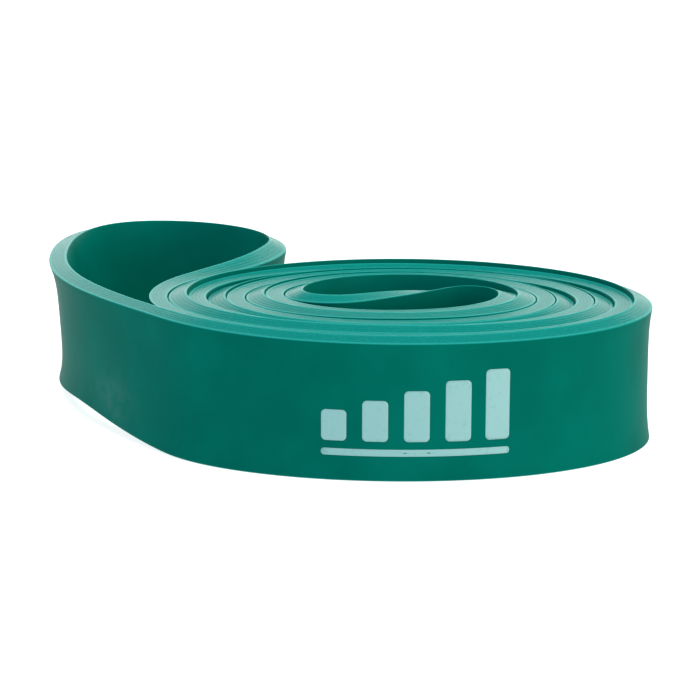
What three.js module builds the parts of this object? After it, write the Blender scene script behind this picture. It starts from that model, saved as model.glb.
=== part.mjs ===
// A layered-latex resistance band: one closed loop, doubled and rolled up on its edge,
// with a free loop left standing out behind the roll.
import * as THREE from 'three';

// Driving sizes in millimetres and degrees. The origin is the middle of the roll, on the
// surface the band stands on; X points right, Y away from the printed side, Z up.
const bandWidth = 28.6;
const bandThickness = 4.0;
const plyCount = 5;
const bondLine = 0.05;          // rubber cement between two plies
const turnGap = 0.12;           // air between two turns of the roll
const eyeRadius = 22.7;         // centreline of the innermost turn where it crosses the X axis
const armSweep = 1350;          // one arm's turning from the near side in to the eye
const sBendSlope = 37;          // slope of the S-bend's middle
const facetAngle = 15;          // turning between two stations
const loopLeave = 60;           // each strand leaves the roll this far round from the Y axis
const loopReach = 105.5;        // roll's axis to the loop's far end
const loopSide = 75.5;          // roll's axis to the loop's left side
const loopApex = 54;            // roll's axis to the far end, sideways
const loopShoulder = [-27.4, 69];   // where the loop bends away from the roll's back
const shoulderHeading = 80;
const loopSideY = 60;           // where the left side runs straight back
const flexGap = 1.5;            // slot at each end of the loop, where the rubber bends
const printFilm = 0.1;          // thickness of the printed ink
const printGap = 0.05;
const barCount = 5;
const barWidth = 5.2;
const barSpacing = 8.4;
const shortBar = 6.4;
const barRise = 2.1;            // each bar is this much taller than the one before it
const printBottom = 5.0;        // lower edge of the printed rule
const ruleHeight = 1.4;
const ruleToBars = 1.6;
const printMiddle = 3.0;        // middle of the print, right of the roll's axis

const latexGreen = 0x006456;
const inkColour = 0x96c8c3;

const pitch = bandThickness + turnGap;
const plyThickness = (bandThickness - bondLine * (plyCount - 1)) / plyCount;
const radians = THREE.MathUtils.degToRad;

// Point of the near-side arm after it has turned CCW by sweep degrees; the other arm is its
// image through the roll's axis.
function armPoint(sweep, side) {
  const radius = eyeRadius + pitch * (armSweep - sweep) / 180;
  const angle = radians(sweep - 90);
  return new THREE.Vector2(Math.cos(angle), Math.sin(angle)).multiplyScalar(side * radius);
}

function armPoints(from, to, side) {
  const count = Math.round(Math.abs(to - from) / facetAngle);
  const points = [];
  for (let i = 0; i <= count; i += 1) {
    points.push(armPoint(from + (to - from) * i / count, side));
  }
  return points;
}

// Half of the S-bend: an arc from the innermost turn to the straight middle. The radius is the
// one that makes the straight middle pass through the roll's axis.
function sBendHalf(side) {
  const slope = radians(sBendSlope);
  const radius = eyeRadius * Math.sin(slope) / (1 + Math.sin(slope));
  const turning = 90 + sBendSlope;
  const count = Math.ceil(turning / facetAngle);
  const points = [];
  for (let i = 1; i <= count; i += 1) {
    const angle = radians(180 + turning * i / count);
    points.push(new THREE.Vector2(
      side * (radius - eyeRadius + radius * Math.cos(angle)),
      side * radius * Math.sin(angle),
    ));
  }
  return points;
}

// A cubic from one stop to the next, leaving and arriving along each stop's heading.
function bend(start, end, stations) {
  const handle = start.point.distanceTo(end.point) * 0.38;
  const out = new THREE.Vector2(handle, 0).rotateAround(new THREE.Vector2(), radians(start.heading));
  const back = new THREE.Vector2(handle, 0).rotateAround(new THREE.Vector2(), radians(end.heading));
  const curve = new THREE.CubicBezierCurve(
    start.point, start.point.clone().add(out), end.point.clone().sub(back), end.point);
  return curve.getSpacedPoints(stations).slice(1);
}

function loopPoints() {
  const leave = { point: armPoint(loopLeave, -1), heading: loopLeave };
  const shoulder = { point: new THREE.Vector2(...loopShoulder), heading: shoulderHeading };
  const apex = { point: new THREE.Vector2(-loopApex, loopReach), heading: 180 };
  const side = { point: new THREE.Vector2(-loopSide, loopSideY), heading: 270 };
  const join = { point: armPoint(-loopLeave, 1), heading: 360 - loopLeave };
  return [
    ...bend(leave, shoulder, 4),
    ...bend(shoulder, apex, 7),
    ...bend(apex, side, 7),
    ...bend(side, join, 8),
  ];
}

// Stations along the whole band, from the end of the loop inwards along the near-side arm,
// through the S-bend, outwards along the other arm and round the loop. Each station has the
// mitre vector that a face at a given distance to the right of the centreline follows.
function stationsAlong(points) {
  let travelled = 0;
  return points.map((point, i) => {
    const before = points[Math.max(i - 1, 0)];
    const after = points[Math.min(i + 1, points.length - 1)];
    const arriving = point.clone().sub(i > 0 ? before : after).normalize();
    if (i === 0) arriving.negate();
    const leaving = (i < points.length - 1 ? after.clone().sub(point) : arriving.clone()).normalize();
    const along = arriving.clone().add(leaving).normalize();
    const mitre = new THREE.Vector2(along.y, -along.x).divideScalar(along.dot(leaving));
    if (i > 0) travelled += point.distanceTo(before);
    return { point, mitre, travelled };
  });
}

// Stations between two distances along the band, with one made at each end.
function stretch(stations, from, to) {
  const at = (distance) => {
    const next = stations.findIndex((station) => station.travelled >= distance);
    const b = stations[Math.max(next, 1)];
    const a = stations[Math.max(next, 1) - 1];
    const share = (distance - a.travelled) / (b.travelled - a.travelled);
    return {
      point: a.point.clone().lerp(b.point, share),
      mitre: a.mitre.clone().lerp(b.mitre, share),
      travelled: distance,
    };
  };
  const margin = 0.01;
  const inside = stations.filter((s) => s.travelled > from + margin && s.travelled < to - margin);
  return [at(from), ...inside, at(to)];
}

// An upright strip that follows the stations between two distances right of the centreline.
function strip(stations, left, right, bottom, top) {
  const offset = (station, distance) => station.point.clone().addScaledVector(station.mitre, distance);
  const outline = [
    ...stations.map((station) => offset(station, right)),
    ...stations.map((station) => offset(station, left)).reverse(),
  ];
  const geometry = new THREE.ExtrudeGeometry(
    new THREE.Shape(outline), { depth: top - bottom, bevelEnabled: false, steps: 1 });
  return geometry.translate(0, 0, bottom);
}

function addMesh(group, name, geometry, material) {
  const mesh = new THREE.Mesh(geometry, material);
  mesh.name = name;
  group.add(mesh);
}

// The bonded plies of one stretch of the band; ply 1 carries the print.
function addPlies(group, name, stations, material) {
  for (let i = 0; i < plyCount; i += 1) {
    const right = bandThickness / 2 - i * (plyThickness + bondLine);
    const geometry = strip(stations, right - plyThickness, right, 0, bandWidth);
    addMesh(group, `${name}_ply_${i + 1}`, geometry, material);
  }
}

// A plain printed mark: rising bars over a rule, as ink films on the outermost turn.
function addPrint(group, stations, middle, material) {
  const inner = bandThickness / 2 + printGap;
  const film = (name, centre, width, bottom, top) => {
    const where = stretch(stations, centre - width / 2, centre + width / 2);
    addMesh(group, name, strip(where, inner, inner + printFilm, bottom, top), material);
  };
  const barBottom = printBottom + ruleHeight + ruleToBars;
  for (let i = 0; i < barCount; i += 1) {
    const centre = middle + barSpacing * (i - (barCount - 1) / 2);
    film(`print_bar_${i + 1}`, centre, barWidth, barBottom, barBottom + shortBar + i * barRise);
  }
  const markWidth = barSpacing * (barCount - 1) + barWidth;
  film('print_rule', middle, markWidth, printBottom, printBottom + ruleHeight);
}

function buildBand() {
  const nearArm = armPoints(-loopLeave, armSweep, 1);
  const farArm = armPoints(loopLeave, armSweep, -1).reverse();
  const points = [...nearArm, ...sBendHalf(1), ...sBendHalf(-1).reverse(), ...farArm, ...loopPoints()];
  const stations = stationsAlong(points);
  const rollLength = stations[points.length - loopPoints().length - 1].travelled;
  const length = stations.at(-1).travelled;

  const latex = new THREE.MeshStandardMaterial({ color: latexGreen, roughness: 0.45, metalness: 0 });
  const ink = new THREE.MeshStandardMaterial({ color: inkColour, roughness: 0.5, metalness: 0 });
  const group = new THREE.Group();
  addPlies(group, 'roll', stretch(stations, 0, rollLength), latex);
  addPlies(group, 'loop', stretch(stations, rollLength + flexGap, length - flexGap), latex);
  const nearSide = stations.find((station) => Math.abs(station.point.x) < 1e-6 && station.point.y < 0);
  addPrint(group, stations, nearSide.travelled + printMiddle, ink);
  return group;
}

export default buildBand();
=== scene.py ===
"""The looks of a rolled resistance band of layered latex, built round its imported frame.

The band is one endless flat strip. It lies as a doubled strand that is rolled up on its edge, with
the strand's fold as the S-bend in the eye of the roll and its other end left as a free loop. Every
surface here is a function of three places in the band: the distance along its middle line, the
height across its width and the depth through its thickness.
"""

import logging
import math
from dataclasses import dataclass
from enum import Enum

import bpy
import numpy as np
from mathutils import Matrix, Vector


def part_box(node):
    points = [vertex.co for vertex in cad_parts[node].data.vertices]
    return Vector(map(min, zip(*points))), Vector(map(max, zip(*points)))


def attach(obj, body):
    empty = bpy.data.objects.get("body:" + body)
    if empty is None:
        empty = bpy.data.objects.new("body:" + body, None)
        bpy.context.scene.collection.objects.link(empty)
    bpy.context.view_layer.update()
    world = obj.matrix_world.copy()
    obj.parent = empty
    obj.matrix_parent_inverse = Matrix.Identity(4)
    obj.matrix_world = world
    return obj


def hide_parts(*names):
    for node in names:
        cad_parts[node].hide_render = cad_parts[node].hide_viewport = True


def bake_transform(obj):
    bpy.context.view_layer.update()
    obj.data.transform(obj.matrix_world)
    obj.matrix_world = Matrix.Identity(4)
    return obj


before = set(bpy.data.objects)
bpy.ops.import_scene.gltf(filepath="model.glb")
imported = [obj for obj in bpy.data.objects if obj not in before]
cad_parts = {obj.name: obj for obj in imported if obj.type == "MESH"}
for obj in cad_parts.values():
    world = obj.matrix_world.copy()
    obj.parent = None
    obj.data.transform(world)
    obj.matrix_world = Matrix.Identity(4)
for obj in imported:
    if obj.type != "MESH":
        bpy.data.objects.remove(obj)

LOG = logging.getLogger("resistance_band")
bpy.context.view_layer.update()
MM = 0.001
QUARTER_TURN = 90.0

Colour = tuple[float, float, float]


class Body(Enum):
    """The bodies that pieces ride on."""

    ROLL = "roll"
    LOOP = "free_loop"


class Slot(Enum):
    """The record's material slots."""

    LATEX = "latex_green"
    INK = "print_ink"


@dataclass(frozen=True)
class BandSizes:
    """Driving sizes of the band and of the way it is rolled, in millimetres and degrees.

    They repeat the frame's own sizes, except for the width, which is read from the frame. The roll's
    axis is the line X = Y = 0.
    """

    width: float
    thickness: float = 4.0
    plies: int = 5
    turn_gap: float = 0.12
    eye_radius: float = 22.7  # middle line of the innermost turn
    arm_sweep: float = 1350.0  # from an arm's front to the eye
    s_bend_slope: float = 37.0  # of the S-bend's middle
    loop_leave: float = 60.0  # how far round from the front each strand leaves the roll
    loop_reach: float = 105.5  # Y of the free loop's far end
    loop_apex: float = 54.0  # -X of its far end
    loop_side: float = 75.5  # -X of its left side
    loop_side_y: float = 60.0  # Y of its left side
    shoulder: tuple[float, float] = (-27.4, 69.0)
    shoulder_heading: float = 80.0
    handle_share: float = 0.38  # of a bend's handles, in the distance between its stops

    @property
    def pitch(self) -> float:
        """Distance from one turn's middle line to the next."""
        return self.thickness + self.turn_gap


@dataclass(frozen=True)
class Stop:
    """A place that the free loop passes, with the heading it passes in."""

    point: np.ndarray
    heading: float

    def towards(self, reach: float) -> np.ndarray:
        """The point reached from here by going straight on, or back when reach is negative."""
        turn = math.radians(self.heading)
        return self.point + reach * np.array([math.cos(turn), math.sin(turn)])


class MiddleLine:
    """The band's closed middle line in plan, as evenly spaced arrays in millimetres."""

    spacing = 0.25
    blur = 1.6
    s_bend_points = 60
    loop_bend_points = 120
    bend_weight = 25.0

    def __init__(self, sizes: BandSizes) -> None:
        """Lays the line out and measures it.

        Args:
            sizes: the band's driving sizes.
        """
        self.sizes = sizes
        points, course = self._layout()
        closed = np.vstack([points, points[:1]])
        travelled = np.concatenate([[0.0], np.cumsum(np.linalg.norm(np.diff(closed, axis=0), axis=1))])
        count = int(travelled[-1] / self.spacing)
        even = np.linspace(0.0, travelled[-1], count, endpoint=False)
        self.course = np.interp(even, travelled[:-1], course)
        self.x = self.blurred(np.interp(even, travelled, closed[:, 0]), self.blur)
        self.y = self.blurred(np.interp(even, travelled, closed[:, 1]), self.blur)
        self._measure()

    def _arm(self, start: float, stop: float, side: int) -> tuple[np.ndarray, np.ndarray]:
        """One arm of the roll: the radius grows by a pitch for each half turn outwards.

        Args:
            start: the arm's turning where the stretch starts, in degrees.
            stop: the turning where it stops.
            side: 1 for the first arm, -1 for the second, its image through the roll's axis.

        Returns:
            The points, and the turning of each.
        """
        sweep = np.linspace(start, stop, int(abs(stop - start)))
        half_turns = (self.sizes.arm_sweep - sweep) / (2 * QUARTER_TURN)
        radius = self.sizes.eye_radius + self.sizes.pitch * half_turns
        angle = np.radians(sweep - QUARTER_TURN)
        return side * radius[:, None] * np.column_stack([np.cos(angle), np.sin(angle)]), sweep

    def _s_half(self, side: int) -> np.ndarray:
        """Half of the S-bend: an arc whose far end looks straight at the roll's axis.

        Its radius is the eye's radius times sin(slope) / (1 + sin(slope)), and it starts at the eye.

        Args:
            side: 1 for the first arm's half, -1 for the second's.

        Returns:
            The points, from the arm's end on.
        """
        slope = math.radians(self.sizes.s_bend_slope)
        radius = self.sizes.eye_radius * math.sin(slope) / (1 + math.sin(slope))
        angle = np.linspace(math.pi, 1.5 * math.pi + slope, self.s_bend_points)[1:]
        centre = radius - self.sizes.eye_radius
        return side * np.column_stack([centre + radius * np.cos(angle), radius * np.sin(angle)])

    def _bend(self, start: Stop, end: Stop) -> np.ndarray:
        """A cubic curve between two stops, with handles along their headings.

        Args:
            start: the stop that it leaves.
            end: the stop that it comes to.

        Returns:
            The points after the first, each a blend of the two stops and the two handles' ends.
        """
        reach = self.sizes.handle_share * float(np.linalg.norm(end.point - start.point))
        a, b, c, d = start.point, start.towards(reach), end.towards(-reach), end.point
        t = np.linspace(0, 1, self.loop_bend_points)[1:, None]
        return a * (1 - t) ** 3 + 3 * b * t * (1 - t) ** 2 + 3 * c * t**2 * (1 - t) + d * t**3

    def _layout(self) -> tuple[np.ndarray, np.ndarray]:
        """All the line's stretches in order, each point with its course.

        The course counts quarter turns inwards along the first arm, then 1 for the S-bend, then
        quarter turns outwards along the second arm, and then 1 for each bend of the free loop.

        Returns:
            The points and their courses.
        """
        s = self.sizes
        first, first_sweep = self._arm(-s.loop_leave, s.arm_sweep, 1)
        second, second_sweep = self._arm(s.arm_sweep, s.loop_leave, -1)
        middle = np.vstack([self._s_half(1), self._s_half(-1)[::-1]])
        stops = [
            Stop(second[-1], s.loop_leave),
            Stop(np.array(s.shoulder), s.shoulder_heading),
            Stop(np.array([-s.loop_apex, s.loop_reach]), 180.0),
            Stop(np.array([-s.loop_side, s.loop_side_y]), 270.0),
            Stop(first[0], 360.0 - s.loop_leave),
        ]
        loop = np.vstack([self._bend(a, b) for a, b in zip(stops, stops[1:])])[:-1]
        eye = s.arm_sweep / QUARTER_TURN
        leave = eye + 1 + (s.arm_sweep - s.loop_leave) / QUARTER_TURN
        course = np.concatenate([
            first_sweep / QUARTER_TURN,
            np.linspace(eye, eye + 1, len(middle) + 2)[1:-1],
            eye + 1 + (s.arm_sweep - second_sweep) / QUARTER_TURN,
            leave + np.linspace(0, len(stops) - 1, len(loop) + 2)[1:-1],
        ])
        return np.vstack([first, middle, second, loop]), course

    def blurred(self, values: np.ndarray, width: float) -> np.ndarray:
        """Values along the closed line, averaged with a bell of the given width."""
        wave = np.fft.rfftfreq(len(values), self.spacing)
        return np.fft.irfft(np.fft.rfft(values) * np.exp(-2 * (math.pi * width * wave) ** 2), len(values))

    def _measure(self) -> None:
        """Works out length, direction and curvature: turning per millimetre, left is positive."""
        step_x = (np.roll(self.x, -1) - np.roll(self.x, 1)) / 2
        step_y = (np.roll(self.y, -1) - np.roll(self.y, 1)) / 2
        step = np.hypot(step_x, step_y)
        self.along = np.concatenate([[0.0], np.cumsum((step + np.roll(step, -1))[:-1] / 2)])
        self.length = float(self.along[-1] + step[-1])
        self.out_x, self.out_y = step_y / step, -step_x / step
        heading = np.unwrap(np.arctan2(step_y, step_x))
        turning = (np.roll(heading, -1) - np.roll(heading, 1)) / 2
        turning[0], turning[-1] = turning[1], turning[-2]
        self.bending = self.blurred(turning / step, self.blur)

    def at(self, values: np.ndarray, along: np.ndarray) -> np.ndarray:
        """Values of the line at distances along it, round and round."""
        return np.interp(along, self.along, values, period=self.length)

    def stations(self, count: int) -> np.ndarray:
        """Distances along the line for a mesh, closer together where it bends more.

        Args:
            count: how many.

        Returns:
            The distances, spread so that each has the same share of the line's length plus its
            turning times the bend weight.
        """
        weight = np.cumsum(1 + self.bend_weight * np.abs(self.bending))
        return np.interp(np.arange(count) / count, (weight - weight[0]) / weight[-1], self.along)


@dataclass
class BandShape:
    """How the strip stands on the middle line: the heights of its two edges, curl, slant and lean.

    The values along the band are given by course: a value for each quarter turn of the first arm,
    from the front inwards, and of the second arm, from the eye outwards, in the order front,
    right, back, left; and a value for each stop and each halfway place of the free loop. Lengths
    are in millimetres. Heads are how far the upper edge stands proud, feet how far the lower edge
    is lifted, and the lean how far the foot stands back from the printed side. The slants are
    slopes of the upper cut edge, falling towards the printed side.
    """

    line: MiddleLine
    thickness: float = 3.95
    first_heads: tuple[float, ...] = (
        0.35, 0.08, 0.55, 0.50, 1.25, -0.35, -0.15, -0.10,
        -0.10, -0.25, 0.35, 0.55, 1.30, 1.00, 1.00, 1.12,
    )
    second_heads: tuple[float, ...] = (
        1.50, 1.40, 0.80, 0.50, 0.30, 0.66, 0.00, -0.10,
        0.10, 1.05, 0.15, -0.15, -0.10, 0.60, 0.25,
    )
    loop_heads: tuple[float, ...] = (-0.05, 0.10, 0.10, 0.05, 0.00, 0.25, 0.65)
    head_rise: float = 0.18  # added to all the heads
    loop_feet: tuple[float, ...] = (0.0, 0.0, 0.0, 0.8, 1.4, 4.1, -0.05)
    foot_share: float = 0.20  # of a proud turn's head that its foot is lifted by
    roll_lean: float = 0.3
    loop_lean: tuple[float, ...] = (0.0, 0.4, 0.8, 1.5, 2.4, 1.8, 0.4)
    blur: float = 10.0  # width of the bell that all the values are averaged with
    curl: float = 0.85
    curl_radius: float = 60.0  # of a bend that has three quarters of the curl
    curl_blur: float = 13.0
    curl_slant: float = 0.19  # slant of the cut edge where the curl is whole
    loop_curl: tuple[float, ...] = (0.0, 0.0, 0.1, 0.6, 1.1, 0.5, 0.0)
    first_slants: tuple[float, ...] = (
        0.16, 0.26, 0.16, 0.16, 0.16, 0.16, 0.16, 0.16, 0.16, 0.16, 0.16, 0.16, -0.05, 0.16, 0.16, 0.16,
    )
    second_slants: tuple[float, ...] = (
        0.16, 0.16, 0.16, 0.36, 0.16, 0.16, 0.16, 0.36, 0.16, 0.16, 0.16, 0.36, 0.16, 0.16, 0.16,
    )
    loop_slants: tuple[float, ...] = (0.50, 0.22, 0.16, 0.16, 0.16, 0.16, 0.16)
    eye_slant: float = -0.50  # of the strand just past the S-bend's middle
    eye_dip: float = 0.34  # how far its head dips
    eye_shift: float = 17.0  # from the S-bend's middle to the middle of that strand
    eye_width: float = 11.5
    uneven: float = 0.07  # how far the heads wander up and down along the band
    uneven_seed: int = 11
    uneven_waves: tuple[int, ...] = (7, 12, 19, 31)
    bead: float = 0.08  # how far the cut edges' corners stand proud
    bead_width: float = 0.40
    # where the painted sheen patch lies: a paler grey tint standing in for highlights low on the free loop
    sheen_patch_place: tuple[float, float] = (34.05, -8.5)  # course, and height in the width
    sheen_patch_reach: tuple[float, float] = (0.10, 6.5)

    def __post_init__(self) -> None:
        """Works out what varies along the band, as arrays on the middle line."""
        line = self.line
        outwards = line.blurred(np.tanh(line.bending * self.curl_radius), self.curl_blur)
        eye_middle = np.interp(len(self.first_heads) - 0.5, line.course, line.along)
        eye_bell = np.exp(-(((line.along - eye_middle - self.eye_shift) / self.eye_width) ** 2))
        self.curl_along = self.curl * outwards + self._by_loop(self.loop_curl)
        cut = self._by_course(self.first_slants, self.second_slants, self.loop_slants)
        self.slant_along = self.curl_slant * outwards + cut + self.eye_slant * eye_bell
        heads = self._by_course(self.first_heads, self.second_heads, self.loop_heads)
        wander = self.uneven * self._wander(self.uneven_seed, self.uneven_waves)
        self.head_along = heads + self.head_rise + wander - self.eye_dip * eye_bell
        lift = self.foot_share * np.maximum(heads, 0) + self._by_loop(self.loop_feet)
        self.foot_along = np.maximum(lift, 0)
        self.lean_along = self._by_loop(self.loop_lean, self.roll_lean)

    def _by_loop(self, loop: tuple[float, ...], arm: float = 0.0) -> np.ndarray:
        """The loop's own values, with one value on all the first arm and its opposite on the second."""
        return self._by_course((arm,) * len(self.first_heads), (-arm,) * len(self.second_heads), loop)

    def _by_course(
        self, first: tuple[float, ...], second: tuple[float, ...], loop: tuple[float, ...]
    ) -> np.ndarray:
        """Values on the middle line from a value for each quarter turn and each stop of the loop.

        Args:
            first: the first arm's values, inwards.
            second: the second arm's values, outwards.
            loop: the values at the shoulder, the far end, the side and the way back in, and
                halfway from each of them to the next.

        Returns:
            The values, straight from one place to the next and then averaged with a bell.
        """
        line = self.line
        quarters = len(first) + len(second)
        leave = quarters - line.sizes.loop_leave / QUARTER_TURN
        places = np.concatenate([np.arange(quarters), leave + 1 + np.arange(len(loop)) / 2])
        values = np.concatenate([first, second, loop])
        loop_bends = (len(loop) + 1) / 2
        period = leave + loop_bends + line.sizes.loop_leave / QUARTER_TURN
        return line.blurred(np.interp(line.course, places, values, period=period), self.blur)

    def _wander(self, seed: int, waves: tuple[int, ...]) -> np.ndarray:
        """A smooth uneven value between about -1 and 1: the mean of sine waves along the band.

        Args:
            seed: seed of the waves' shifts.
            waves: how many times each wave goes up and down round the band.

        Returns:
            The values on the middle line.
        """
        draw = np.random.default_rng(seed)
        share = self.line.along / self.line.length
        total = np.zeros_like(share)
        for wave in waves:
            total += np.sin(2 * math.pi * (wave * share + draw.random()))
        return total / len(waves)

    def place(self, along: np.ndarray, height: np.ndarray, depth: np.ndarray) -> np.ndarray:
        """Places points of the band in space.

        A strip that bends one way curls the other way across its width, so its middle stands
        further in than its edges: the offset is the curl times ((2 h / w) to the 4th power - 1), h
        being the height from the middle of the width. The lean moves the foot back. A point's own
        height goes from the foot's to the head's in step with h, less the depth times the slant
        times the square of the share of the way up.

        Args:
            along: distances along the middle line, in millimetres.
            height: heights from the middle of the width.
            depth: distances from the middle of the thickness towards the printed side.

        Returns:
            Points in metres, with the shape of the three arguments put together.
        """
        line, width = self.line, self.line.sizes.width
        along, height, depth = np.broadcast_arrays(along, height, depth)
        share = height / width + 0.5
        foot, head = line.at(self.foot_along, along), line.at(self.head_along, along)
        up = foot + share * (width + head - foot) - depth * line.at(self.slant_along, along) * share**2
        inward = line.at(self.curl_along, along) * (1 - (2 * height / width) ** 4)
        side = depth - inward - line.at(self.lean_along, along) * (1 - share)
        out_x, out_y = line.at(line.out_x, along), line.at(line.out_y, along)
        size = np.hypot(out_x, out_y)
        x = line.at(line.x, along) + side * out_x / size
        y = line.at(line.y, along) + side * out_y / size
        return np.stack([x, y, up], axis=-1) * MM

    def sheen_patch(self, along: np.ndarray, height: np.ndarray) -> np.ndarray:
        """How much painted sheen the band gets: a bell round one place low on the free loop, where a paler
        grey tint stands in for soft highlights.

        Args:
            along: distances along the middle line, in millimetres.
            height: heights from the middle of the width.

        Returns:
            Shares from 0 to 1.
        """
        course = self.line.at(self.line.course, along)
        (place, level), (reach, spread) = self.sheen_patch_place, self.sheen_patch_reach
        return np.exp(-(((course - place) / reach) ** 2) - ((height - level) / spread) ** 2)

    def corner(self, depth: np.ndarray) -> np.ndarray:
        """How near a depth is to the band's two faces: 1 at a face, falling off as a bell."""
        return np.exp(-(((self.thickness / 2 - np.abs(depth)) / self.bead_width) ** 2))


def grid_mesh(
    name: str,
    points: np.ndarray,
    uv: tuple[np.ndarray, np.ndarray],
    closed: tuple[bool, bool],
    marks: dict[str, np.ndarray] | None = None,
) -> bpy.types.Object:
    """Makes a mesh object from a grid of points.

    Args:
        name: the object's name.
        points: rows by columns by 3, in metres.
        uv: the rows' and the columns' texture coordinates, one more than the points on a closed side.
        closed: whether the rows, and the columns, join up round.
        marks: point attributes, each an array of rows by columns.

    Returns:
        The object, linked to the scene, smooth, with its faces pointing outwards.
    """
    rows, columns = points.shape[:2]
    i, j = np.meshgrid(
        np.arange(rows if closed[0] else rows - 1),
        np.arange(columns if closed[1] else columns - 1),
        indexing="ij",
    )
    i, j = i.ravel(), j.ravel()
    i2, j2 = (i + 1) % rows, (j + 1) % columns
    quads = np.column_stack([i * columns + j, i2 * columns + j, i2 * columns + j2, i * columns + j2])
    across = np.column_stack([uv[0][i], uv[0][i + 1], uv[0][i + 1], uv[0][i]])
    around = np.column_stack([uv[1][j], uv[1][j], uv[1][j + 1], uv[1][j + 1]])
    flat = points.reshape(-1, 3)
    a, b, c, d = (flat[quads[:, k]] for k in range(4))
    volume = np.einsum("ij,ij->i", (a + c) / 2, np.cross(c - a, d - b)).sum()
    if volume < 0:
        quads, across, around = quads[:, ::-1], across[:, ::-1], around[:, ::-1]
    mesh = bpy.data.meshes.new(name)
    mesh.from_pydata(flat.tolist(), [], quads.tolist())
    layer = mesh.uv_layers.new(name="band")
    layer.data.foreach_set("uv", np.stack([across, around], axis=-1).astype(np.float32).ravel())
    for mark, values in (marks or {}).items():
        attribute = mesh.attributes.new(mark, "FLOAT", "POINT")
        attribute.data.foreach_set("value", values.astype(np.float32).ravel())
    mesh.polygons.foreach_set("use_smooth", np.ones(len(mesh.polygons), bool))
    mesh.update()
    piece = bpy.data.objects.new(name, mesh)
    bpy.context.scene.collection.objects.link(piece)
    return piece


@dataclass
class PlyStack:
    """The band's bonded plies, each one endless sheet right round the band. Sizes are in millimetres.

    Two places on the free loop's hinge are given for a blend from the roll to the loop, but no blending is
    done.
    """

    shape: BandShape
    stations: int = 1500
    face_steps: int = 14
    corner_steps: int = 3
    bond: float = 0.004  # between one ply and the next
    bonded_corner: float = 0.012
    free_corner: float = 0.2
    blend_start: tuple[float, float] = (-16.8, 53.4)
    blend_end: tuple[float, float] = (-34.8, 110.6)

    def _ring(self, low: float, high: float, low_round: float, high_round: float) -> tuple[np.ndarray, ...]:
        """One ply's cross-section: a tall rectangle with rounded corners, walked once round.

        Args:
            low: the ply's inner face, as a depth in the band.
            high: its outer face.
            low_round: corner radius on the inner face.
            high_round: corner radius on the outer face.

        Returns:
            Depths, heights, and how far each point belongs to the cut edge, from 0 to 1.
        """
        half = self.shape.line.sizes.width / 2
        turn = np.linspace(0, math.pi / 2, self.corner_steps + 1)
        outer_face = np.linspace(-1, 1, self.face_steps + 1) * (half - high_round)
        inner_face = np.linspace(1, -1, self.face_steps + 1) * (half - low_round)
        top_high = (high - high_round * (1 - np.cos(turn)), half - high_round * (1 - np.sin(turn)))
        top_low = (low + low_round * (1 - np.sin(turn)), half - low_round * (1 - np.cos(turn)))
        edge = np.sin(turn)
        depth = np.concatenate([
            np.full(self.face_steps, high), top_high[0], top_low[0],
            np.full(self.face_steps - 1, low), top_low[0][::-1], top_high[0][::-1][:-1],
        ])
        height = np.concatenate([
            outer_face[:-1], top_high[1], top_low[1],
            inner_face[1:-1], -top_low[1][::-1], -top_high[1][::-1][:-1],
        ])
        rim = np.concatenate([
            np.zeros(self.face_steps), edge, edge[::-1],
            np.zeros(self.face_steps - 1), edge, edge[::-1][:-1],
        ])
        return depth, height, rim

    def build(self, finish: "Finish") -> list[bpy.types.Object]:
        """Builds every ply, dresses it and hides the frame's own ply parts.

        A ply is its cross-section carried along the band's middle line, and placed by the band's
        shape.

        Args:
            finish: the latex.

        Returns:
            The plies, the printed side's first.
        """
        shape, plies = self.shape, self.shape.line.sizes.plies
        along = shape.line.stations(self.stations)
        material = finish.material()
        thick = (shape.thickness - self.bond * (plies - 1)) / plies
        pieces = []
        for number in range(1, plies + 1):
            high = shape.thickness / 2 - (number - 1) * (thick + self.bond)
            depth, height, rim = self._ring(
                high - thick, high,
                self.free_corner if number == plies else self.bonded_corner,
                self.free_corner if number == 1 else self.bonded_corner,
            )
            # corner lifts the bead on the cut edge's corners and also places the painted highlight there
            corner = rim * shape.corner(depth)
            height = height + np.sign(height) * shape.bead * corner
            points = shape.place(along[:, None], height, depth)
            around = np.concatenate([[0], np.cumsum(np.hypot(
                np.diff(depth, append=depth[0]), np.diff(height, append=height[0])))])
            # the last mark says where the painted sheen patch goes
            marks = {"rim": rim, "corner": corner, "sheen_patch": shape.sheen_patch(along[:, None], height)}
            piece = grid_mesh(
                f"band_ply_{number}", points,
                (np.append(along, shape.line.length) * MM, around * MM), (True, True),
                {mark: np.broadcast_to(values, points.shape[:2]) for mark, values in marks.items()},
            )
            piece.data.materials.append(material)
            self.blend_start[0] * MM
            self.blend_start[1] * MM
            self.blend_end[0] * MM
            self.blend_end[1] * MM
            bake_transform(piece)
            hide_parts(f"roll_ply_{number}", f"loop_ply_{number}")
            LOG.info("%s: %d points", piece.name, len(piece.data.vertices))
            pieces.append(piece)
        return pieces


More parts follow.
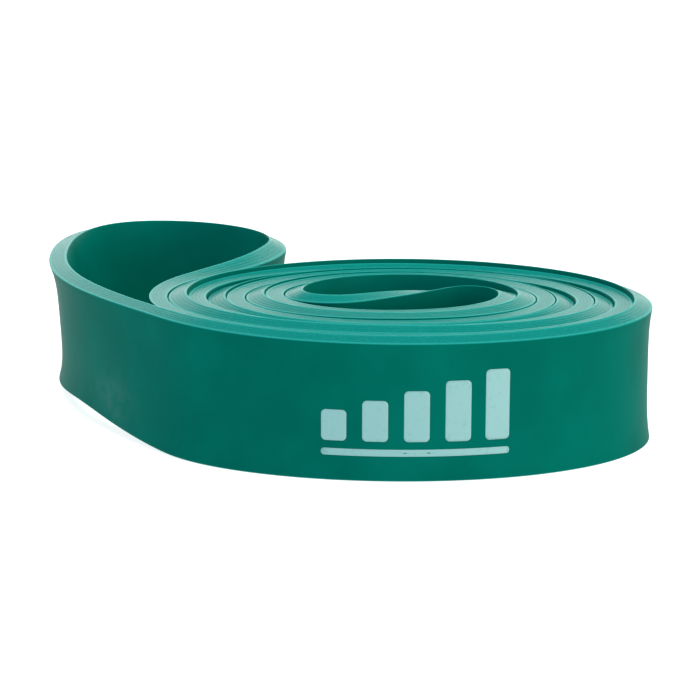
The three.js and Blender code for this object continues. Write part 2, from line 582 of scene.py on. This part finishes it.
@dataclass
class PrintedMark:
    """A plain printed mark on the outermost turn: rising bars over a rule, as thin ink films.

    Sizes are in millimetres.
    """

    shape: BandShape
    bars: int = 5
    film: float = 0.05
    sink: float = 0.01  # how far the back lies inside the latex
    corner: float = 0.9
    corner_limit: float = 0.9  # of half the film's smaller side
    arc_points: int = 7
    side_points: int = 26
    rings: int = 9
    ring_bias: float = 0.7  # below 1, the rings crowd together near the outline
    line_share: float = 0.125  # of the band's length, from its start, that holds the mark
    front_reach: float = 2.0  # of the eye's radius, to either side of the roll's axis

    def _film(self, name: str, centre: float, size: tuple[float, float], bottom: float) -> bpy.types.Object:
        """One rounded film: its outline drawn in to the middle in rings, in front and behind.

        A ring is the outline times a share, which grows from 0 to 1 over the front and shrinks
        back to 0 over the back, as a power of how many rings it is from the middle.

        Args:
            name: the piece's name.
            centre: distance along the band of its middle.
            size: its width and height.
            bottom: height of its lower edge above the band's lower edge.

        Returns:
            The piece.
        """
        half = np.array(size) / 2
        ring = self._outline(half, min(self.corner, float(half.min()) * self.corner_limit))
        front = np.linspace(0, 1, self.rings) ** self.ring_bias
        share = np.concatenate([front, [1.0], front[::-1]])
        outer = self.shape.thickness / 2
        levels = [outer + self.film, outer + self.film / 2, outer - self.sink]
        depth = np.repeat(levels, [self.rings, 1, self.rings])
        along = centre + share[:, None] * ring[:, 0]
        height = bottom + half[1] - self.shape.line.sizes.width / 2 + share[:, None] * ring[:, 1]
        points = self.shape.place(along, height, depth[:, None])
        uv = (np.arange(len(share) + 1.0) / len(share), np.arange(len(ring) + 1.0) / len(ring))
        return grid_mesh(name, points, uv, (False, True))

    def _outline(self, half: np.ndarray, corner: float) -> np.ndarray:
        """A rounded rectangle's outline about its middle, anticlockwise.

        Args:
            half: half its width and half its height.
            corner: its corners' radius.

        Returns:
            The points, with a run of them along each straight side.
        """
        arcs = []
        for number, sign in enumerate([(1, 1), (-1, 1), (-1, -1), (1, -1)]):
            turn = math.pi / 2 * (number + np.linspace(0, 1, self.arc_points))
            arcs.append((half - corner) * sign + corner * np.column_stack([np.cos(turn), np.sin(turn)]))
        sides = [
            np.linspace(arc[-1], following[0], self.side_points)[1:-1]
            for arc, following in zip(arcs, arcs[1:] + arcs[:1])]
        return np.vstack([part for pair in zip(arcs, sides) for part in pair])

    def build(self, finish: "Finish") -> list[bpy.types.Object]:
        """Builds the bars and the rule where their CAD nodes are.

        Args:
            finish: the ink.

        Returns:
            The bars, from the left, and then the rule.
        """
        material = finish.material()
        pieces = []
        names = [f"print_bar_{i}" for i in range(1, self.bars + 1)] + ["print_rule"]
        for node in names:
            low, high = (np.array(corner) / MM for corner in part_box(node))
            centre, width = self._span(low, high)
            piece = self._film(f"{node}_ink", centre, (width, high[2] - low[2]), low[2])
            piece.data.materials.append(material)
            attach(piece, Body.ROLL.value)
            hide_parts(node)
            LOG.info("%s: %.1f mm wide", piece.name, width)
            pieces.append(piece)
        return pieces

    def _span(self, low: np.ndarray, high: np.ndarray) -> tuple[float, float]:
        """Where a film's box lies along the front of the outermost turn.

        Args:
            low: the box's lower corner, in millimetres.
            high: its upper corner.

        Returns:
            The distance along the band of the box's middle, and its width there.
        """
        line = self.shape.line
        beside = np.abs(line.x) < line.sizes.eye_radius * self.front_reach
        front = (line.along < line.length * self.line_share) & (line.y < 0) & beside
        x = line.x[front] * (1 + line.sizes.thickness / 2 / np.hypot(line.x[front], line.y[front]))
        ends = np.interp([low[0], high[0]], x, line.along[front])
        return float(ends.mean()), float(ends[1] - ends[0])


class Value:
    """A value in a node tree. Arithmetic on it adds Math nodes."""

    def __init__(self, tree: "Tree", socket: bpy.types.NodeSocket) -> None:
        """Wraps a socket of a tree."""
        self.tree, self.socket = tree, socket

    def _math(self, operation: str, *values: "Value | float") -> "Value":
        """One Math node on these values."""
        inputs = dict(enumerate(values))
        return self.tree.add("ShaderNodeMath", {"operation": operation}, inputs).out()

    def __add__(self, other: "Value | float") -> "Value":
        """self + other"""
        return self._math("ADD", self, other)

    __radd__ = __add__

    def __mul__(self, other: "Value | float") -> "Value":
        """self * other"""
        return self._math("MULTIPLY", self, other)

    __rmul__ = __mul__

    def __sub__(self, other: "Value | float") -> "Value":
        """self - other"""
        return self._math("SUBTRACT", self, other)

    def __rsub__(self, other: "Value | float") -> "Value":
        """other - self"""
        return self._math("SUBTRACT", other, self)

    def clamped(self) -> "Value":
        """self, kept between 0 and 1."""
        return self._math("MINIMUM", self._math("MAXIMUM", self, 0.0), 1.0)

    def ramp(self, low: float, high: float) -> "Value":
        """0 up to low, 1 from high on, and smooth between them."""
        inputs = {"Value": self, "From Min": low, "From Max": high}
        return self.tree.add("ShaderNodeMapRange", {"interpolation_type": "SMOOTHSTEP"}, inputs).out()


class Added:
    """A node just added, whose outputs can be taken as values."""

    def __init__(self, tree: "Tree", node: bpy.types.Node) -> None:
        """Wraps a node of a tree."""
        self.tree, self.node = tree, node

    def out(self, name: str | int = 0) -> Value:
        """The output of that name or number."""
        return Value(self.tree, self.node.outputs[name])


class Tree:
    """A node tree that values are worked out in."""

    def __init__(self, tree: bpy.types.NodeTree) -> None:
        """Wraps a node tree."""
        self.tree = tree

    def add(self, kind: str, settings: dict, inputs: dict) -> Added:
        """Adds a node.

        Args:
            kind: the node's type.
            settings: its properties, set first.
            inputs: values or Values for its sockets, by name or number.

        Returns:
            The node.
        """
        node = self.tree.nodes.new(kind)
        for key, value in settings.items():
            setattr(node, key, value)
        for key, value in inputs.items():
            if isinstance(value, Value):
                self.tree.links.new(value.socket, node.inputs[key])
            else:
                node.inputs[key].default_value = value
        return Added(self, node)


class Shader(Tree):
    """A material's node tree with one Principled surface."""

    mix_colours = (6, 7)  # a Mix node's two colour inputs
    mix_result = 2  # and its colour output

    def __init__(self, name: str, **constants: float | tuple) -> None:
        """Makes the material.

        Args:
            name: the material's name.
            constants: values for the surface's own sockets, with _ for a space.
        """
        self.material = bpy.data.materials.new(name)
        self.material.use_nodes = True
        super().__init__(self.material.node_tree)
        self.surface = self.tree.nodes["Principled BSDF"]
        for socket, value in constants.items():
            self.surface.inputs[socket.replace("_", " ")].default_value = value

    def feed(self, socket: str, value: Value) -> None:
        """Links a value to one of the surface's sockets."""
        self.tree.links.new(value.socket, self.surface.inputs[socket])

    def position(self) -> Value:
        """Object coordinates."""
        return self.add("ShaderNodeTexCoord", {}, {}).out("Object")

    def attribute(self, name: str) -> Value:
        """A number carried by the piece's points."""
        return self.add("ShaderNodeAttribute", {"attribute_name": name}, {}).out("Fac")

    def scaled(self, vector: Value, scale: Colour) -> Value:
        """A vector times a vector."""
        return self.add("ShaderNodeVectorMath", {"operation": "MULTIPLY"}, {0: vector, 1: scale}).out()

    def noise(self, vector: Value, scale: float, detail: float = 3.0, rough: float = 0.5) -> Value:
        """A noise from 0 to 1.

        Args:
            vector: where it is taken.
            scale: one over the size of its patches, in metres.
            detail: how many finer layers it has.
            rough: how strong the finer layers are.

        Returns:
            The noise.
        """
        inputs = {"Vector": vector, "Scale": scale, "Detail": detail, "Roughness": rough}
        return self.add("ShaderNodeTexNoise", {}, inputs).out(0)

    def mix(self, share: Value | float, first: "Value | Colour", second: "Value | Colour") -> Value:
        """A colour between two colours.

        Args:
            share: 0 for the first colour, 1 for the second.
            first: a colour.
            second: another colour.

        Returns:
            The colour.
        """
        added = self.add("ShaderNodeMix", {"data_type": "RGBA"}, {0: share})
        for number, value in zip(self.mix_colours, (first, second)):
            if isinstance(value, Value):
                self.tree.links.new(value.socket, added.node.inputs[number])
            else:
                added.node.inputs[number].default_value = (*value, 1.0)
        return added.out(self.mix_result)

    def bump(self, height: Value, distance: float, strength: float) -> Value:
        """A normal bumped by a height.

        Args:
            height: the relief, from 0 to 1.
            distance: how many metres high 1 is.
            strength: how much of it shows.

        Returns:
            The normal.
        """
        inputs = {"Height": height, "Distance": distance, "Strength": strength}
        return self.add("ShaderNodeBump", {}, inputs).out()


class Finish:
    """A finish that a piece can be dressed in."""

    def material(self) -> bpy.types.Material:
        """Builds the finish's material."""
        raise NotImplementedError


@dataclass(frozen=True)
class LatexFinish(Finish):
    """Green layered latex: deep satin faces, and cut edges that are paler, streaked and waxy.

    Scales are one over a patch's size, in metres. Shares say how much of a colour or a relief the
    pattern of that name brings in at its strongest.
    """

    deep: Colour = (0.0, 0.110, 0.081)
    light: Colour = (0.0, 0.130, 0.096)
    # painted sheen: a paler grey colour low on the free loop, standing in for its soft highlights
    painted_sheen: Colour = (0.08, 0.19, 0.18)
    cut: Colour = (0.0, 0.188, 0.156)
    chalk: Colour = (0.02, 0.25, 0.215)
    # painted highlight: the cut edges' corners are paled towards this colour to stand in for the bright
    # lines along them
    wear_and_highlight: Colour = (0.02, 0.34, 0.295)
    cloud_scale: float = 60.0
    grain_scale: float = 2600.0
    sheen_noise_scale: float = 260.0
    streak_scale: Colour = (60.0, 5200.0, 1.0)  # along the band, across it, and unused
    speck_scale: float = 1700.0
    # how far the painted sheen pales the face at its strongest
    painted_sheen_share: float = 0.30
    streak_share: float = 0.30
    speck_share: float = 0.45
    # how far the corners are paled as painted highlight
    wear_and_highlight_share: float = 0.8
    wax: float = 0.33
    chalk_dries: float = 0.16  # wax that the chalkiest places lose
    gloss: float = 0.36  # roughness of the faces
    dull: float = 0.50  # roughness of the cut edges
    cloud_gloss: float = 0.14
    grain_gloss: float = 0.08
    cloud_relief: float = 4.0
    grain_relief: float = 0.4
    cut_relief: float = 1.5
    relief_height: float = 0.00008
    relief_strength: float = 0.5

    def material(self) -> bpy.types.Material:
        """Builds the latex: mottled faces with a painted sheen patch low on the free loop, and edges with
        streaks along them, specks and corners paled as painted highlights.

        Returns:
            The material.
        """
        shader = Shader(
            "latex_green", Specular_IOR_Level=0.003, IOR=1.5, Coat_Roughness=0.12, Coat_IOR=1.1)
        place = shader.position()
        strip = shader.add("ShaderNodeUVMap", {"uv_map": "band"}, {}).out()
        rim, corner = shader.attribute("rim"), shader.attribute("corner")
        cloud = shader.noise(place, self.cloud_scale, detail=3.0)
        grain = shader.noise(place, self.grain_scale, detail=2.0)
        sheen_noise = shader.noise(place, self.sheen_noise_scale, detail=5.0, rough=0.65).ramp(0.3, 0.7)
        streak = shader.noise(shader.scaled(strip, self.streak_scale), 1.0, detail=4.0, rough=0.6)
        specks = shader.noise(place, self.speck_scale, detail=2.0, rough=0.7).ramp(0.50, 0.72)

        clean = shader.mix(cloud.ramp(0.3, 0.7), self.deep, self.light)
        # painted sheen: a paler grey patch low on the free loop, broken up by noise, standing in for soft
        # highlights
        painted_sheen = shader.attribute("sheen_patch") * sheen_noise * self.painted_sheen_share
        chalky = (streak.ramp(0.40, 0.85) * self.streak_share + specks * self.speck_share).clamped()
        fresh = shader.mix(chalky, self.cut, self.chalk)
        face = shader.mix(painted_sheen, clean, self.painted_sheen)
        # painted highlight: the cut edge is paled near its corners
        edge = shader.mix(corner * self.wear_and_highlight_share, fresh, self.wear_and_highlight)
        shader.feed("Base Color", shader.mix(rim, face, edge))
        shader.feed("Coat Weight", (rim * (self.wax - chalky * self.chalk_dries)).clamped())

        mottle = self.gloss + (cloud - 0.5) * self.cloud_gloss + (grain - 0.5) * self.grain_gloss
        shader.feed("Roughness", (mottle + rim * (self.dull - self.gloss)).clamped())
        pits = grain * self.grain_relief
        relief = pits + cloud * self.cloud_relief + rim * (streak - pits) * self.cut_relief
        shader.feed("Normal", shader.bump(relief, self.relief_height, self.relief_strength))
        return shader.material


@dataclass(frozen=True)
class InkFinish(Finish):
    """Pale sea-green ink, a little worn."""

    ink: Colour = (0.23, 0.45, 0.43)
    # the ink's real wear: the colour where it is worn thin
    wear_and_highlight: Colour = (0.13, 0.36, 0.33)
    wear_scale: float = 900.0
    wear_and_highlight_share: float = 0.6
    gloss: float = 0.42
    wear_gloss: float = 0.15
    relief_height: float = 0.00004
    relief_strength: float = 0.4

    def material(self) -> bpy.types.Material:
        """Builds the ink: thin in small patches.

        Returns:
            The material.
        """
        shader = Shader("print_ink", Specular_IOR_Level=0.5)
        wear = shader.noise(shader.position(), self.wear_scale, detail=4.0, rough=0.65)
        thin = wear.ramp(0.55, 0.75) * self.wear_and_highlight_share
        shader.feed("Base Color", shader.mix(thin, self.ink, self.wear_and_highlight))
        shader.feed("Roughness", self.gloss + wear * self.wear_gloss)
        shader.feed("Normal", shader.bump(wear, self.relief_height, self.relief_strength))
        return shader.material


@dataclass(frozen=True)
class Softbox:
    """A rectangular soft light that stands at a place and looks at a target, in metres and watts."""

    name: str
    place: tuple[float, float, float]
    target: tuple[float, float, float]
    size: tuple[float, float]
    power: float
    tint: Colour = (1.0, 1.0, 1.0)

    def build(self) -> None:
        """Stands the light in the scene, turned about Z and then tilted to face its target."""
        data = bpy.data.lights.new(self.name, "AREA")
        data.shape, data.energy, data.color = "RECTANGLE", self.power, self.tint
        data.size, data.size_y = self.size
        light = bpy.data.objects.new(self.name, data)
        light.location = self.place
        away = np.array(self.place) - np.array(self.target)
        spin = math.atan2(away[0], -away[1])
        tilt = math.atan2(math.hypot(away[0], away[1]), away[2])
        light.rotation_euler = (tilt, 0.0, spin)
        bpy.context.scene.collection.objects.link(light)


@dataclass
class Studio:
    """Pale floor, soft light and the camera. The camera's places and its lens are in millimetres."""

    camera_side: float = -10.65
    camera_back: float = 1300.0
    camera_height: float = 243.0
    camera_range: tuple[float, float] = (0.05, 20.0)  # nearest and farthest seen, in metres
    pitch: float = 9.832
    roll: float = 0.4
    lens: float = 318.9
    sensor: float = 36.0
    surroundings: float = 0.42
    floor_reach: float = 6.0
    floor_drop: float = 0.00005
    floor_colour: Colour = (0.4, 0.4, 0.4)
    floor_glow: float = 0.82
    lights: tuple[Softbox, ...] = (
        Softbox("top_softbox", (0.0, 0.1, 1.4), (0.0, 0.0, 0.0), (1.4, 1.4), 22.0),
        Softbox("back_softbox", (0.0, 2.2, 0.35), (0.0, 0.0, 0.0), (2.8, 1.1), 24.0),
        Softbox("left_softbox", (-1.6, -1.5, 0.8), (0.0, 0.0, 0.02), (1.2, 1.2), 13.0, (0.2, 0.66, 1.0)),
        Softbox("right_softbox", (2.0, -0.9, 0.7), (0.0, 0.0, 0.02), (1.2, 1.2), 27.0),
    )

    def build(self) -> None:
        """Builds all of it, under a plain view transform."""
        self._camera()
        self._floor()
        for light in self.lights:
            light.build()
        self._world()
        bpy.context.scene.view_settings.view_transform = "Standard"

    def _world(self) -> None:
        """White all round where it is seen, and dimmer where it only lights the band."""
        world = bpy.data.worlds.new("studio")
        world.use_nodes = True
        tree = Tree(world.node_tree)
        seen = tree.add("ShaderNodeLightPath", {}, {}).out("Is Camera Ray")
        strength = self.surroundings + seen * (1 - self.surroundings)
        backdrop = world.node_tree.nodes["Background"]
        backdrop.inputs["Color"].default_value = (1.0, 1.0, 1.0, 1.0)
        world.node_tree.links.new(strength.socket, backdrop.inputs["Strength"])
        bpy.context.scene.world = world

    def _camera(self) -> None:
        """The camera, looking down a little at the front of the roll."""
        data = bpy.data.cameras.new("camera")
        data.lens, data.sensor_width = self.lens, self.sensor
        data.clip_start, data.clip_end = self.camera_range
        camera = bpy.data.objects.new("camera", data)
        camera.location = (self.camera_side * MM, -self.camera_back * MM, self.camera_height * MM)
        tilt = Matrix.Rotation(math.radians(QUARTER_TURN - self.pitch), 3, "X")
        camera.rotation_euler = (tilt @ Matrix.Rotation(math.radians(self.roll), 3, "Z")).to_euler()
        bpy.context.scene.collection.objects.link(camera)
        bpy.context.scene.camera = camera

    def _floor(self) -> None:
        """A wide pale floor just under the band."""
        corners = [(-1, -1), (1, -1), (1, 1), (-1, 1)]
        points = [(x * self.floor_reach, y * self.floor_reach, -self.floor_drop) for x, y in corners]
        mesh = bpy.data.meshes.new("floor")
        mesh.from_pydata(points, [], [(0, 1, 2, 3)])
        floor = bpy.data.objects.new("floor", mesh)
        bpy.context.scene.collection.objects.link(floor)
        shader = Shader(
            "pale_floor", Roughness=1.0, Specular_IOR_Level=0.1, Emission_Strength=self.floor_glow,
            Base_Color=(*self.floor_colour, 1.0), Emission_Color=(1.0, 1.0, 1.0, 1.0))
        mesh.materials.append(shader.material)


def main() -> None:
    """Builds the studio, the band and its print, in that order."""
    logging.basicConfig(level=logging.INFO, format="%(name)s: %(message)s")
    Studio().build()
    low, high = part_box("roll_ply_1")
    sizes = BandSizes(width=(high[2] - low[2]) / MM)
    shape = BandShape(MiddleLine(sizes))
    LOG.info("middle line: %.1f mm long", shape.line.length)
    PlyStack(shape).build(LatexFinish())
    PrintedMark(shape).build(InkFinish())


if __name__ == "__main__":
    main()
